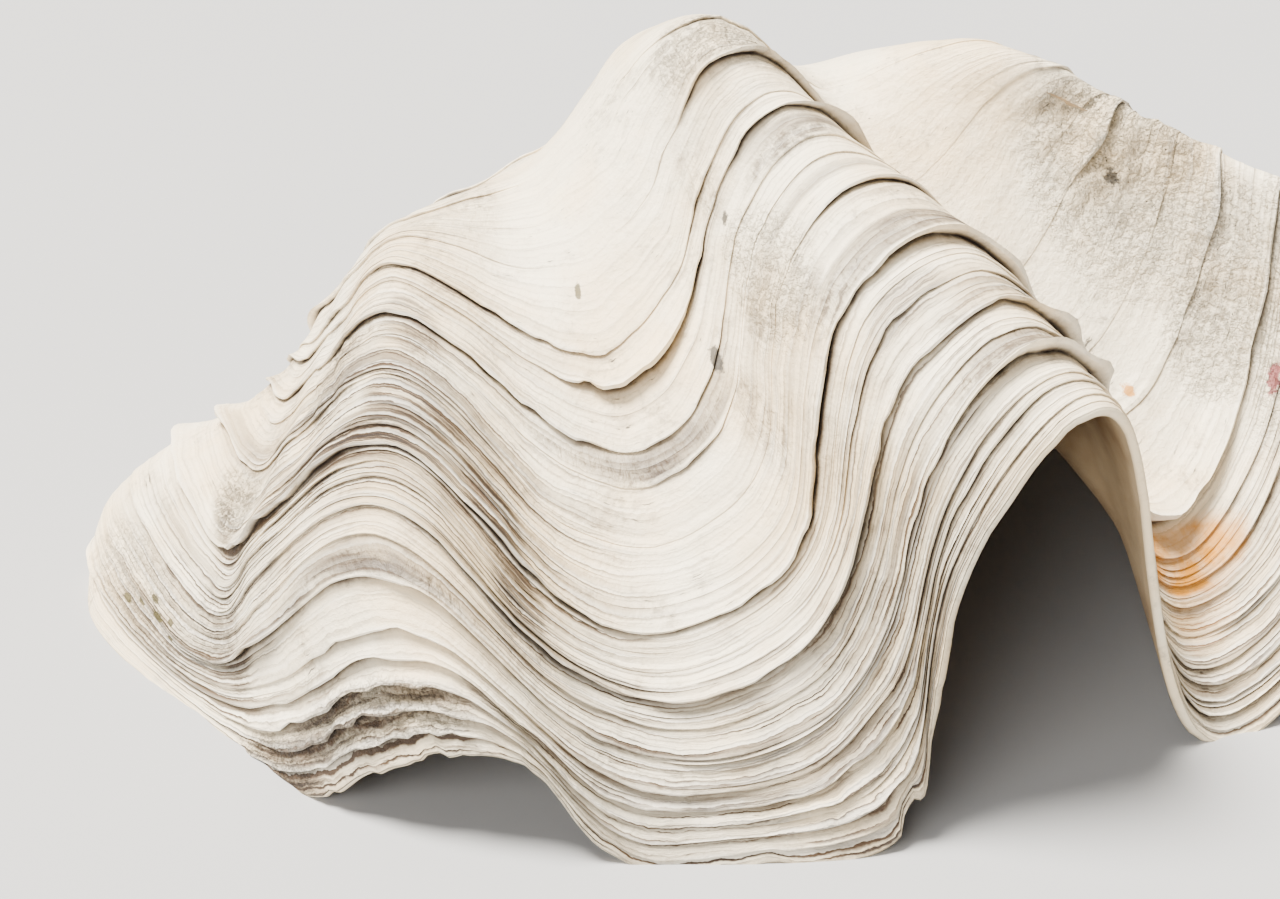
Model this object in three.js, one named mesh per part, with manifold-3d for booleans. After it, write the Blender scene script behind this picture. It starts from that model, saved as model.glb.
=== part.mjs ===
// One valve of a giant clam shell, resting hollow side down on its scalloped margin.
// Millimetres, +Z up. The margin faces -Y, the umbo (the oldest point of the shell) is at the back.
//
// The valve is described the way it grew: every former margin is a growth line, and the ribs and
// valleys are the paths that the same point of the margin took as the shell got larger. A smooth
// surface runs through those paths, growth ledges stand proud of it, and the hollow side follows
// at the thickness of the wall.

import * as THREE from 'three';
import Module from 'manifold-3d';

// Where the object's own origin lies in the coordinates of the fold paths: under its middle.
const MIDDLE_X = 46.5;
const MIDDLE_Y = 169;

// The umbo, from which the whole valve grew.
const UMBO = new THREE.Vector3(10, 320, 18);

// Age of the growth lines that the paths are given at. 0 is the umbo and 1 is the margin.
const PATH_AGES = [1, 0.9, 0.785, 0.62, 0.39];

// Each rib and valley from left to right: its points at the five ages above, margin first.
const FOLD_PATHS = {
  leftHinge: [[-196, 232, 0], [-186, 240, 3], [-158, 252, 6], [-114, 270, 10], [-74, 286, 12]],
  leftRib: [[-217, 160, 1], [-213, 182, 24], [-182, 190, 53], [-138, 217, 76], [-112, 262, 88]],
  leftValley: [[-168, 90, 0], [-160, 102, 14], [-150, 117, 49], [-127, 187, 93], [-98, 240, 116]],
  leftCorner: [[-118, 40, 0], [-136, 80, 34], [-135, 105, 66], [-117, 170, 110], [-94, 222, 130]],
  secondRibFlank: [[-86, 20, 22], [-112, 56, 68], [-117, 92, 88], [-105, 155, 126], [-84, 205, 146]],
  secondRib: [[-58, 12, 36], [-77, 38, 89], [-80, 68, 117], [-83, 130, 150], [-66, 192, 158]],
  broadValleyLeft: [[-30, 6, 29], [-36, 19, 60], [-39, 45, 86], [-48, 110, 135], [-50, 206, 163]],
  broadToothLeft: [[-4, 0, 1], [-9, 16, 41], [-14, 38, 68], [-26, 100, 126], [-38, 212, 168]],
  broadValley: [[34, 0, 0], [18, 14, 36], [12, 38, 66], [-8, 98, 124], [-27, 216, 180]],
  broadToothRight: [[74, 4, 2], [58, 20, 50], [47, 44, 88], [10, 104, 135], [-18, 216, 192]],
  broadValleyRight: [[92, 12, 20], [78, 30, 84], [57, 56, 116], [19, 118, 150], [-10, 215, 203]],
  greatRibLeft: [[98, 21, 86], [90, 42, 124], [64, 76, 158], [26, 135, 177], [-2, 213, 211]],
  greatRib: [[137, 33, 149], [125, 58, 158], [100, 100, 178], [50, 145, 206], [18, 210, 220]],
  greatRibRight: [[172, 60, 72], [165, 82, 92], [146, 108, 124], [92, 165, 165], [42, 222, 206]],
  narrowValley: [[204, 67, 0], [192, 88, 34], [178, 103, 68], [122, 160, 128], [59, 240, 192]],
  fourthRibLeft: [[255, 95, 44], [240, 116, 70], [220, 150, 96], [158, 190, 158], [80, 240, 196]],
  fourthRib: [[285, 137, 118], [262, 160, 142], [232, 180, 166], [181, 207, 186], [120, 236, 199]],
  rightValley: [[302, 206, 0], [284, 216, 26], [262, 228, 54], [212, 246, 98], [140, 270, 142]],
  rightRib: [[314, 262, 58], [298, 266, 74], [272, 274, 92], [218, 286, 112], [142, 298, 130]],
  rightHinge: [[276, 334, 0], [262, 333, 3], [236, 331, 6], [180, 328, 10], [112, 325, 14]],
};

// Before the youngest of those growth lines the shell grew as a spiral: each older line is the
// same curve, smaller and turned further back about the umbo.
const SPIRAL_AGES = [0.3, 0.2, 0.11, 0.05, 0.015];
const SPIRAL_TURN = THREE.MathUtils.degToRad(58);

// Growth ledges: the age of each lip, its height, and how far back it starts to rise.
const LEDGES = [
  { age: 0.45, height: 1.6, rise: 0.06 },
  { age: 0.54, height: 2.0, rise: 0.05 },
  { age: 0.62, height: 3.4, rise: 0.06 },
  { age: 0.66, height: 2.0, rise: 0.03 },
  { age: 0.72, height: 1.4, rise: 0.04 },
  { age: 0.785, height: 4.2, rise: 0.05 },
  { age: 0.847, height: 4.0, rise: 0.045 },
  { age: 0.905, height: 3.2, rise: 0.035 },
  { age: 0.955, height: 2.0, rise: 0.03 },
];
const LEDGE_DROP = 0.005;

// Wall of the shell: thin at the margin, thick towards the umbo.
const WALL_AT_MARGIN = 3.5;
const WALL_AT_UMBO = 12;
const CAVITY_START_AGE = 0.17;

// The hinge plate: how much wider the wall gets along the hinge, and over what share of the width.
const HINGE_PLATE = 16;
const HINGE_REACH = 0.03;

// The margin is worn flat where the valve stands on it.
const WORN_DEPTH = 1.2;

// How finely the surface is cut into facets.
const COLUMNS = 84;
const FIRST_AGE = 0.015;
const OLD_ROWS = 7;
const ROWS_BETWEEN_LEDGES = 2;
const INNER_ROWS = 15;
const KNOT_POWER = 0.7;

const SHELL_COLOUR = 0xe6dfd3;

// A smooth curve (natural cubic spline) through one vector per knot.
function splineThrough(knots, points) {
  const last = knots.length - 1;
  const gap = knots.slice(1).map((knot, i) => knot - knots[i]);
  const slope = gap.map((width, i) => points[i + 1].clone().sub(points[i]).divideScalar(width));
  const bend = points.map(() => new THREE.Vector3());
  const pivot = new Array(last + 1).fill(1);
  for (let i = 1; i < last; i += 1) {
    const share = i > 1 ? gap[i - 1] / pivot[i - 1] : 0;
    pivot[i] = 2 * (gap[i - 1] + gap[i]) - share * gap[i - 1];
    bend[i].copy(slope[i]).sub(slope[i - 1]).multiplyScalar(6).addScaledVector(bend[i - 1], -share);
  }
  for (let i = last - 1; i > 0; i -= 1) {
    bend[i].addScaledVector(bend[i + 1], -gap[i]).divideScalar(pivot[i]);
  }
  return (at) => {
    let i = 0;
    while (i < last - 1 && at > knots[i + 1]) {
      i += 1;
    }
    const ahead = (at - knots[i]) / gap[i];
    const behind = 1 - ahead;
    const square = (gap[i] * gap[i]) / 6;
    return points[i].clone().multiplyScalar(behind)
      .addScaledVector(points[i + 1], ahead)
      .addScaledVector(bend[i], (behind ** 3 - behind) * square)
      .addScaledVector(bend[i + 1], (ahead ** 3 - ahead) * square);
  };
}

// The growth lines that the surface runs through, oldest first, each a row of points.
function growthLines() {
  const paths = Object.values(FOLD_PATHS);
  const lines = PATH_AGES.map((age, i) => ({ age, points: paths.map((path) => new THREE.Vector3(...path[i])) }));
  const youngest = lines[lines.length - 1];
  for (const age of SPIRAL_AGES) {
    const size = age / youngest.age;
    const turn = -SPIRAL_TURN * (1 - size);
    const axis = new THREE.Vector3(1, 0, 0);
    const place = (point) => point.clone().sub(UMBO).applyAxisAngle(axis, turn).multiplyScalar(size).add(UMBO);
    lines.push({ age, points: youngest.points.map(place) });
  }
  return lines.reverse();
}

// Knots along a growth line: each fold gets a share by how far it is from the next.
function knotsAlong(lines) {
  const given = lines.slice(-PATH_AGES.length);
  const knots = [0];
  for (let i = 1; i < given[0].points.length; i += 1) {
    const steps = given.map((line) => line.points[i].distanceTo(line.points[i - 1]));
    const mean = steps.reduce((sum, step) => sum + step, 0) / steps.length;
    knots.push(knots[i - 1] + mean ** KNOT_POWER);
  }
  const total = knots[knots.length - 1];
  return knots.map((knot) => knot / total);
}

const LINES = growthLines();
const KNOTS = knotsAlong(LINES);
const AGES = LINES.map((line) => line.age);
const ACROSS = LINES.map((line) => splineThrough(KNOTS, line.points));

// The path of one place on the margin, as a curve over age.
function pathAt(across) {
  return splineThrough(AGES, ACROSS.map((line) => line(across)));
}

// The direction out of the shell at a place on the smooth surface.
function outwardAt(across, age) {
  const step = 0.002;
  const left = pathAt(Math.max(across - step, 0))(age);
  const right = pathAt(Math.min(across + step, 1))(age);
  const older = pathAt(across)(age - step);
  const younger = pathAt(across)(age + step);
  return right.sub(left).cross(younger.sub(older)).negate().normalize();
}

// How far the growth ledges stand above the smooth surface.
function ledgeLift(across, age) {
  let lift = 0;
  for (const ledge of LEDGES) {
    const along = (age - ledge.age + ledge.rise) / ledge.rise;
    if (along > 0 && along <= 1) {
      const uneven = 0.75 + 0.25 * Math.sin(across * 29 + ledge.age * 60);
      lift = Math.max(lift, ledge.height * uneven * along * along);
    }
  }
  const fadeAtEnds = THREE.MathUtils.smoothstep(Math.min(across, 1 - across), 0, 0.05);
  return lift * fadeAtEnds;
}

function wallAt(across, age) {
  const wall = THREE.MathUtils.lerp(WALL_AT_UMBO, WALL_AT_MARGIN, THREE.MathUtils.smoothstep(age, 0.35, 1));
  const fromHinge = Math.min(across, 1 - across);
  return wall + HINGE_PLATE * (1 - age) * Math.exp(-fromHinge / HINGE_REACH);
}

// Ages of the rows of the outer skin: a close pair at each ledge, a few between.
function outerAges() {
  const ages = [];
  for (let i = 0; i < OLD_ROWS; i += 1) {
    ages.push(THREE.MathUtils.lerp(FIRST_AGE, LEDGES[0].age - LEDGES[0].rise, i / OLD_ROWS));
  }
  let from = LEDGES[0].age - LEDGES[0].rise;
  for (const ledge of LEDGES) {
    for (let i = 0; i < ROWS_BETWEEN_LEDGES; i += 1) {
      ages.push(THREE.MathUtils.lerp(from, ledge.age, i / ROWS_BETWEEN_LEDGES));
    }
    ages.push(ledge.age);
    from = ledge.age + LEDGE_DROP;
  }
  ages.push(from, (from + 1) / 2, 1);
  return ages;
}

function innerAges() {
  const ages = [];
  for (let i = 0; i < INNER_ROWS; i += 1) {
    ages.push(THREE.MathUtils.lerp(CAVITY_START_AGE, 1, i / (INNER_ROWS - 1)));
  }
  return ages;
}

function outerPoint(across, age) {
  return pathAt(across)(age).addScaledVector(outwardAt(across, age), ledgeLift(across, age));
}

function innerPoint(across, age) {
  return pathAt(across)(age).addScaledVector(outwardAt(across, age), -wallAt(across, age));
}

// Rows of points, one row per age, all with the same number of columns.
function skin(ages, pointAt) {
  return ages.map((age) => {
    const row = [];
    for (let i = 0; i <= COLUMNS; i += 1) {
      row.push(pointAt(i / COLUMNS, age));
    }
    return row;
  });
}

// One closed triangle mesh from the outer skin, the inner skin and the wall's edge round both.
function closedMesh(outer, inner) {
  const positions = [];
  const index = (row) => row.map((point) => {
    positions.push(point.x - MIDDLE_X, point.y - MIDDLE_Y, point.z - WORN_DEPTH);
    return positions.length / 3 - 1;
  });
  const outerRows = outer.map(index);
  const innerRows = inner.map(index);
  const triangles = [];
  const strip = (first, second) => {
    for (let i = 0; i + 1 < first.length; i += 1) {
      triangles.push(first[i], first[i + 1], second[i + 1], first[i], second[i + 1], second[i]);
    }
  };
  for (let i = 0; i + 1 < outerRows.length; i += 1) {
    strip(outerRows[i + 1], outerRows[i]);
  }
  for (let i = 0; i + 1 < innerRows.length; i += 1) {
    strip(innerRows[i], innerRows[i + 1]);
  }
  strip(outerRows[0], innerRows[0]);
  strip(innerRows[innerRows.length - 1], outerRows[outerRows.length - 1]);
  hingeEdge(triangles, outerRows.map((row) => row[0]), innerRows.map((row) => row[0]), false);
  hingeEdge(triangles, outerRows.map((row) => row[COLUMNS]), innerRows.map((row) => row[COLUMNS]), true);
  return { positions, triangles };
}

// The wall's edge on the hinge side, between two columns with different numbers of points.
function hingeEdge(triangles, outer, inner, right) {
  let i = 0;
  let j = 0;
  const add = (a, b, c) => triangles.push(...(right ? [a, b, c] : [a, c, b]));
  while (i < outer.length - 1 || j < inner.length - 1) {
    const outerTurn = i / (outer.length - 1) <= j / (inner.length - 1);
    if (j === inner.length - 1 || (outerTurn && i < outer.length - 1)) {
      add(outer[i], outer[i + 1], inner[j]);
      i += 1;
    } else {
      add(outer[i], inner[j + 1], inner[j]);
      j += 1;
    }
  }
}

// The solid with its standing edge worn flat at the level of the ground.
async function wornSolid(mesh) {
  const wasm = await Module();
  wasm.setup();
  const solid = new wasm.Manifold(new wasm.Mesh({
    numProp: 3,
    vertProperties: new Float32Array(mesh.positions),
    triVerts: new Uint32Array(mesh.triangles),
  }));
  const reach = 1000;
  const ground = wasm.Manifold.cube([reach, reach, reach], true).translate([0, 0, -reach / 2]);
  return solid.subtract(ground).getMesh();
}

function toGeometry(mesh) {
  const geometry = new THREE.BufferGeometry();
  const points = new Float32Array((mesh.vertProperties.length / mesh.numProp) * 3);
  for (let i = 0; i < points.length / 3; i += 1) {
    for (let k = 0; k < 3; k += 1) {
      points[i * 3 + k] = mesh.vertProperties[i * mesh.numProp + k];
    }
  }
  geometry.setAttribute('position', new THREE.BufferAttribute(points, 3));
  geometry.setIndex(new THREE.BufferAttribute(new Uint32Array(mesh.triVerts), 1));
  geometry.computeVertexNormals();
  return geometry;
}

function shellMaterial() {
  return new THREE.MeshStandardMaterial({ color: SHELL_COLOUR, roughness: 0.55, metalness: 0 });
}

const outerSkin = skin(outerAges(), outerPoint);
const innerSkin = skin(innerAges(), innerPoint);
const valve = new THREE.Mesh(toGeometry(await wornSolid(closedMesh(outerSkin, innerSkin))), shellMaterial());
valve.name = 'valve';

const shell = new THREE.Group();
shell.name = 'giant_clam_shell';
shell.add(valve);

export default shell;
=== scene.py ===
"""Giant clam valve: builds the shell, its ground and light as an add-on that can run as a script."""
import math
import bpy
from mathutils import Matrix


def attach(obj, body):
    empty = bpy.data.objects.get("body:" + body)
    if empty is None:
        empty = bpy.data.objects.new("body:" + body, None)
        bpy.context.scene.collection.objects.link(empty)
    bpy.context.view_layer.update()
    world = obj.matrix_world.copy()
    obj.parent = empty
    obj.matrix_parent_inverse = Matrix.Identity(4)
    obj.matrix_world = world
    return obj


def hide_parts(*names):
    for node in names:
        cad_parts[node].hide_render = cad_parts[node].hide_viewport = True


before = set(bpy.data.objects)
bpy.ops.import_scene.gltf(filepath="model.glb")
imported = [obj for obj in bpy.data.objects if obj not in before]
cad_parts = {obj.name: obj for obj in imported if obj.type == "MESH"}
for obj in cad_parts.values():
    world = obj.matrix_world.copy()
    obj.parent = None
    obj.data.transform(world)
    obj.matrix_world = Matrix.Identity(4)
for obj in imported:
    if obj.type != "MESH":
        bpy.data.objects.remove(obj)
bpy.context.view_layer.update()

from types import SimpleNamespace

import bmesh
import bpy
import numpy as np
from bpy.props import FloatProperty, FloatVectorProperty, IntProperty, PointerProperty
from mathutils import Matrix, Vector, noise

bl_info = {
    "name": "Giant Clam Shell",
    "version": (1, 0, 0),
    "blender": (4, 5, 0),
    "location": "3D View > Sidebar > Shell",
    "description": "Builds one valve of a giant clam from the paths of its ribs and growth lines",
    "category": "Add Mesh",
}

MM = 0.001

# The valve's own coordinates, in millimetres. The origin of the part lies under its middle.
MIDDLE = (46.5, 169.0)
WORN_DEPTH = 1.2
UMBO = (10.0, 320.0, 18.0)

# Age of the growth lines that the fold paths are given at. 0 is the umbo and 1 is the margin.
PATH_AGES = (1, 0.9, 0.785, 0.62, 0.39)
FOLD_PATHS = {
    "left_hinge": ((-196, 232, 0), (-186, 240, 3), (-158, 252, 6), (-114, 270, 10), (-74, 286, 12)),
    "left_rib": ((-217, 160, 1), (-213, 182, 24), (-182, 190, 53), (-138, 217, 76), (-112, 262, 88)),
    "left_valley": ((-168, 90, 0), (-160, 102, 14), (-150, 117, 49), (-127, 187, 93), (-98, 240, 116)),
    "left_corner": ((-118, 40, 0), (-136, 80, 34), (-135, 105, 66), (-117, 170, 110), (-94, 222, 130)),
    "second_flank": ((-86, 20, 22), (-112, 56, 68), (-117, 92, 88), (-105, 155, 126), (-84, 205, 146)),
    "second_rib": ((-58, 12, 36), (-77, 38, 89), (-80, 68, 117), (-83, 130, 150), (-66, 192, 158)),
    "broad_left": ((-30, 6, 29), (-36, 19, 60), (-39, 45, 86), (-48, 110, 135), (-50, 206, 163)),
    "tooth_left": ((-4, 0, 1), (-9, 16, 41), (-14, 38, 68), (-26, 100, 126), (-38, 212, 168)),
    "broad_valley": ((34, 0, 0), (18, 14, 36), (12, 38, 66), (-8, 98, 124), (-27, 216, 180)),
    "tooth_right": ((74, 4, 2), (58, 20, 50), (47, 44, 88), (10, 104, 135), (-18, 216, 192)),
    "broad_right": ((92, 12, 20), (78, 30, 84), (57, 56, 116), (19, 118, 150), (-10, 215, 203)),
    "great_left": ((98, 21, 86), (90, 42, 124), (64, 76, 158), (26, 135, 177), (-2, 213, 211)),
    "great_rib": ((137, 33, 149), (125, 58, 158), (100, 100, 178), (50, 145, 206), (18, 210, 220)),
    "great_right": ((172, 60, 72), (165, 82, 92), (146, 108, 124), (92, 165, 165), (42, 222, 206)),
    "narrow_valley": ((204, 67, 0), (192, 88, 34), (178, 103, 68), (122, 160, 128), (59, 240, 192)),
    "fourth_left": ((255, 95, 44), (240, 116, 70), (220, 150, 96), (158, 190, 158), (80, 240, 196)),
    "fourth_rib": ((285, 137, 118), (262, 160, 142), (232, 180, 166), (181, 207, 186), (120, 236, 199)),
    "right_valley": ((302, 206, 0), (284, 216, 26), (262, 228, 54), (212, 246, 98), (140, 270, 142)),
    "right_rib": ((314, 262, 58), (298, 266, 74), (272, 274, 92), (218, 286, 112), (142, 298, 130)),
    "right_hinge": ((276, 334, 0), (262, 333, 3), (236, 331, 6), (180, 328, 10), (112, 325, 14)),
}
# Towards the umbo the growth lines shrink and turn into a spiral.
SPIRAL_AGES = (0.3, 0.2, 0.11, 0.05, 0.015, 0.006)
SPIRAL_TURN = math.radians(58)
# How far apart two folds count on the way across: their distance to this power.
KNOT_POWER = 0.7

# Where the outside and the hollow side start, and their rows of points.
FIRST_AGE = 0.006
CAVITY_START_AGE = 0.17
INNER_ROWS = 26
RIM_STEPS = 6
MARGIN_ROWS = 4
RANDOM_SEED = 7
SHARP_ANGLE = math.radians(42)

# The wall thins from this age to the margin, and the hinge plate reaches this far across.
WALL_EVEN_UNTIL = 0.35
HINGE_REACH = 0.03

# Ages between two rows: on the old part, on the rest, and from the last row to a lip.
OLD_PART = 0.40
OLD_ROW_STEP = 0.012
ROW_STEP = 0.0038
ROW_TO_LIP = 0.0009
# A row may be a ledge's foot. Then its mark is the number of the ledge in LEDGES, or else one of these.
NO_FOOT = -1
FINE_FOOT = -2
FINE_FEET_FROM = 0.3
FINE_FOOT_CHANCE = 0.5

# Growth ledges: age of the lip, how far back it rises, and its height in mm at each of STATIONS.
STATIONS = ("left_rib", "left_valley", "left_corner", "second_rib", "tooth_left", "broad_valley",
            "broad_right", "great_left", "great_rib", "great_right", "narrow_valley", "fourth_left",
            "fourth_rib", "right_rib")
LEDGES = (
    (0.12, 0.04, (0.6, 0.6, 0.7, 0.8, 0.6, 0.6, 0.7, 0.8, 1.0, 0.8, 0.8, 0.8, 0.8, 0.6)),
    (0.20, 0.04, (0.8, 0.6, 0.8, 1.0, 0.6, 0.6, 0.8, 1.0, 1.4, 1.0, 0.8, 0.9, 1.0, 0.8)),
    (0.28, 0.05, (0.8, 0.8, 1.0, 1.2, 0.6, 0.5, 0.6, 1.0, 1.4, 1.2, 1.0, 0.6, 1.2, 1.0)),
    (0.36, 0.05, (1.0, 0.8, 1.0, 1.2, 0.5, 0.4, 0.5, 1.0, 1.6, 1.4, 0.8, 0.5, 1.2, 1.2)),
    (0.45, 0.06, (1.2, 1.0, 1.2, 1.2, 0.1, 0.0, 0.1, 0.8, 2.2, 2.0, 0.2, 0.2, 1.0, 1.4)),
    (0.54, 0.05, (3.0, 1.8, 1.2, 0.9, 0.1, 0.0, 0.2, 1.2, 3.4, 2.8, 0.1, 0.2, 1.6, 2.0)),
    (0.598, 0.03, (0.8, 0.8, 1.2, 1.6, 1.5, 1.2, 1.4, 1.2, 0.5, 0.4, 0.1, 0.1, 0.6, 0.8)),
    (0.62, 0.022, (3.2, 2.0, 1.0, 0.3, 1.4, 4.0, 3.4, 2.8, 3.4, 2.6, 0.3, 0.5, 2.0, 2.4)),
    (0.658, 0.03, (2.4, 1.8, 1.6, 1.4, 2.6, 1.3, 0.8, 0.6, 0.8, 0.8, 0.3, 0.2, 0.8, 1.4)),
    (0.68, 0.018, (0.5, 0.6, 0.6, 0.6, 0.8, 1.3, 0.8, 0.5, 0.6, 0.5, 0.3, 0.2, 0.5, 0.6)),
    (0.72, 0.03, (3.0, 1.8, 1.6, 1.8, 0.3, 0.2, 0.5, 1.3, 1.8, 2.0, 0.9, 0.7, 1.8, 1.6)),
    (0.762, 0.015, (0.2, 0.4, 1.2, 1.8, 1.2, 0.1, 0.3, 0.6, 0.6, 0.5, 0.2, 0.3, 0.5, 0.6)),
    (0.785, 0.05, (2.8, 4.6, 3.0, 2.8, 2.6, 3.0, 5.0, 2.6, 4.8, 4.4, 6.5, 5.3, 4.2, 3.4)),
    (0.80, 0.012, (0.1, 0.4, 1.2, 1.4, 0.8, 0.2, 0.2, 0.6, 0.8, 0.8, 0.2, 0.4, 0.6, 0.6)),
    (0.817, 0.016, (0.2, 0.8, 1.2, 1.2, 0.8, 0.3, 0.7, 1.2, 1.5, 2.0, 1.2, 1.2, 1.2, 1.0)),
    (0.833, 0.014, (0.2, 0.5, 0.8, 0.6, 1.3, 1.2, 1.4, 1.4, 1.8, 1.8, 0.6, 0.8, 1.0, 1.0)),
    (0.848, 0.03, (0.6, 1.0, 1.2, 0.8, 4.4, 6.0, 5.6, 2.4, 2.8, 3.4, 1.6, 2.3, 3.0, 2.6)),
    (0.875, 0.02, (0.2, 0.8, 1.0, 0.8, 1.0, 1.0, 1.4, 1.2, 1.0, 1.4, 0.8, 0.9, 1.0, 1.0)),
    (0.905, 0.026, (0.4, 1.4, 4.4, 3.2, 2.0, 2.4, 2.4, 3.0, 5.4, 4.2, 1.8, 2.6, 3.4, 2.6)),
    (0.935, 0.02, (0.6, 1.4, 1.0, 1.6, 1.4, 1.2, 1.6, 1.4, 0.8, 0.8, 1.2, 1.2, 1.2, 1.2)),
    (0.95, 0.014, (2.6, 2.6, 1.6, 2.6, 2.0, 2.2, 2.4, 2.0, 1.2, 1.0, 1.6, 1.8, 2.0, 1.8)),
    (0.964, 0.014, (0.1, 0.3, 2.4, 4.4, 1.6, 1.0, 1.6, 1.6, 0.4, 0.5, 1.2, 1.2, 1.2, 1.0)),
    (0.977, 0.013, (0.1, 0.1, 2.6, 3.2, 2.0, 2.0, 2.2, 1.2, 0.8, 0.8, 1.6, 1.4, 1.2, 1.0)),
    (0.989, 0.010, (0.1, 0.1, 2.4, 3.0, 1.2, 1.0, 1.6, 0.8, 0.6, 0.6, 0.8, 0.8, 0.8, 0.8)),
)

# Shape of a large ledge: the share of its height that the very lip keeps, the ages over which its
# lip, its painted highlight and the painted shade under it fade, and the ages that it moves for each mm of
# its height.
LIP_SHARE = 0.7
LIP_REACH = 0.0025
EDGE_REACH = 0.003
LEDGE_SHADE_REACH = 0.009
TONGUE_LENGTH = 0.0011
JAG_LENGTH = 0.0007
TUCK_LENGTH = 0.0013

# Tongues that stick out of a ledge: place across, age of the ledge, half width across, height in mm.
TONGUES = (
    (0.554, 0.905, 0.005, 5.5), (0.556, 0.848, 0.006, 3.0), (0.556, 0.785, 0.009, 2.5),
    (0.560, 0.62, 0.010, 2.5), (0.730, 0.62, 0.012, 5.0), (0.742, 0.72, 0.014, 3.5),
    (0.060, 0.785, 0.012, 3.0), (0.076, 0.72, 0.010, 3.0),
)

# Strength of the fine growth lines along each fold, at the ages in LINE_AGES.
LINE_AGES = (0.30, 0.50, 0.64, 0.76, 0.86, 0.94, 1.0)
LINE_STRENGTH = {
    "left_hinge": (0.5, 0.5, 0.5, 0.5, 0.4, 0.3, 0.2),
    "left_rib": (0.3, 0.3, 0.2, 0.1, 0.12, 0.25, 0.1),
    "left_valley": (0.3, 0.3, 0.3, 0.5, 1.7, 2.2, 0.3),
    "left_corner": (0.3, 0.3, 0.5, 1.1, 1.2, 0.5, 2.2),
    "second_rib": (0.4, 0.35, 0.7, 1.9, 0.4, 0.12, 1.6),
    "broad_left": (0.3, 0.25, 0.6, 1.3, 1.1, 0.7, 1.2),
    "tooth_left": (0.12, 0.12, 0.4, 0.7, 1.2, 1.5, 1.7),
    "broad_valley": (0.12, 0.08, 0.2, 0.25, 0.7, 1.4, 1.3),
    "broad_right": (0.15, 0.15, 0.3, 0.5, 1.1, 1.7, 1.8),
    "great_left": (0.2, 0.2, 0.25, 0.3, 0.8, 1.2, 1.0),
    "great_rib": (0.25, 0.35, 0.3, 0.3, 0.7, 0.4, 0.25),
    "great_right": (0.3, 0.3, 0.3, 0.3, 0.5, 0.4, 0.3),
    "narrow_valley": (0.12, 0.08, 0.08, 0.15, 0.7, 1.2, 0.9),
    "fourth_left": (0.08, 0.08, 0.15, 0.3, 0.8, 1.2, 1.0),
    "fourth_rib": (0.3, 0.35, 0.35, 0.45, 0.7, 0.8, 0.8),
    "right_hinge": (0.5, 0.5, 0.5, 0.5, 0.5, 0.5, 0.5),
}

# Ragged margin, as ages: chips all along it, and deeper ones at the front tooth.
MARGIN_CHIPS = 0.0045
TOOTH_CHIPS = 0.007
TOOTH_PLACE = 0.435
TOOTH_REACH = 0.03

# Uneven surface, in millimetres: sizes of its cells, and heights.
BROAD_CELL, BROAD_LIFT = 34.0, 1.1
LUMP_CELL, LUMP_LIFT = 13.0, 0.35
GRAIN_CELL, GRAIN_LIFT = 9.0, 0.16
BUMP_DEPTH = 0.0026

# Growth steps in the material: how many from the umbo to the margin, and dashes across.
WIDE_STEPS = (64, 16)
NARROW_STEPS = (165, 26)
STEP_SPACING = 7.31
LINE_SWAY = 0.009
SPOT_AGE_SCALE = 0.45

# Soft-edged patches on the outside: place across, age, half width across, half width in age, amount.
GREY_PATCHES = (
    (0.519, 0.495, 0.030, 0.040, 0.5), (0.549, 0.540, 0.025, 0.025, 0.6), (0.518, 0.648, 0.022, 0.012, 0.9),
    (0.480, 0.590, 0.012, 0.040, 0.5), (0.467, 0.702, 0.016, 0.018, 0.5), (0.429, 0.713, 0.012, 0.040, 0.6),
    (0.478, 0.745, 0.010, 0.022, 0.6), (0.517, 0.737, 0.035, 0.009, 0.5), (0.528, 0.770, 0.045, 0.014, 1.0),
    (0.490, 0.772, 0.018, 0.012, 1.0), (0.376, 0.670, 0.042, 0.010, 1.0), (0.327, 0.672, 0.025, 0.006, 0.5),
    (0.228, 0.668, 0.020, 0.014, 0.6), (0.222, 0.712, 0.016, 0.020, 0.6), (0.267, 0.690, 0.010, 0.028, 0.6),
    (0.172, 0.745, 0.014, 0.030, 0.6), (0.118, 0.925, 0.022, 0.020, 0.7), (0.150, 0.880, 0.014, 0.030, 0.6),
    (0.132, 0.755, 0.018, 0.022, 0.8), (0.246, 0.893, 0.038, 0.011, 1.0), (0.545, 0.888, 0.050, 0.014, 1.0),
    (0.540, 0.840, 0.035, 0.008, 0.8), (0.440, 0.880, 0.012, 0.030, 0.5), (0.300, 0.840, 0.012, 0.030, 0.5),
    (0.715, 0.560, 0.030, 0.050, 0.2), (0.735, 0.700, 0.036, 0.060, 0.2), (0.280, 0.480, 0.030, 0.050, 0.3),
    (0.862, 0.640, 0.030, 0.060, 0.5), (0.090, 0.640, 0.020, 0.050, 0.5), (0.905, 0.760, 0.030, 0.030, 0.5),
)
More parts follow.
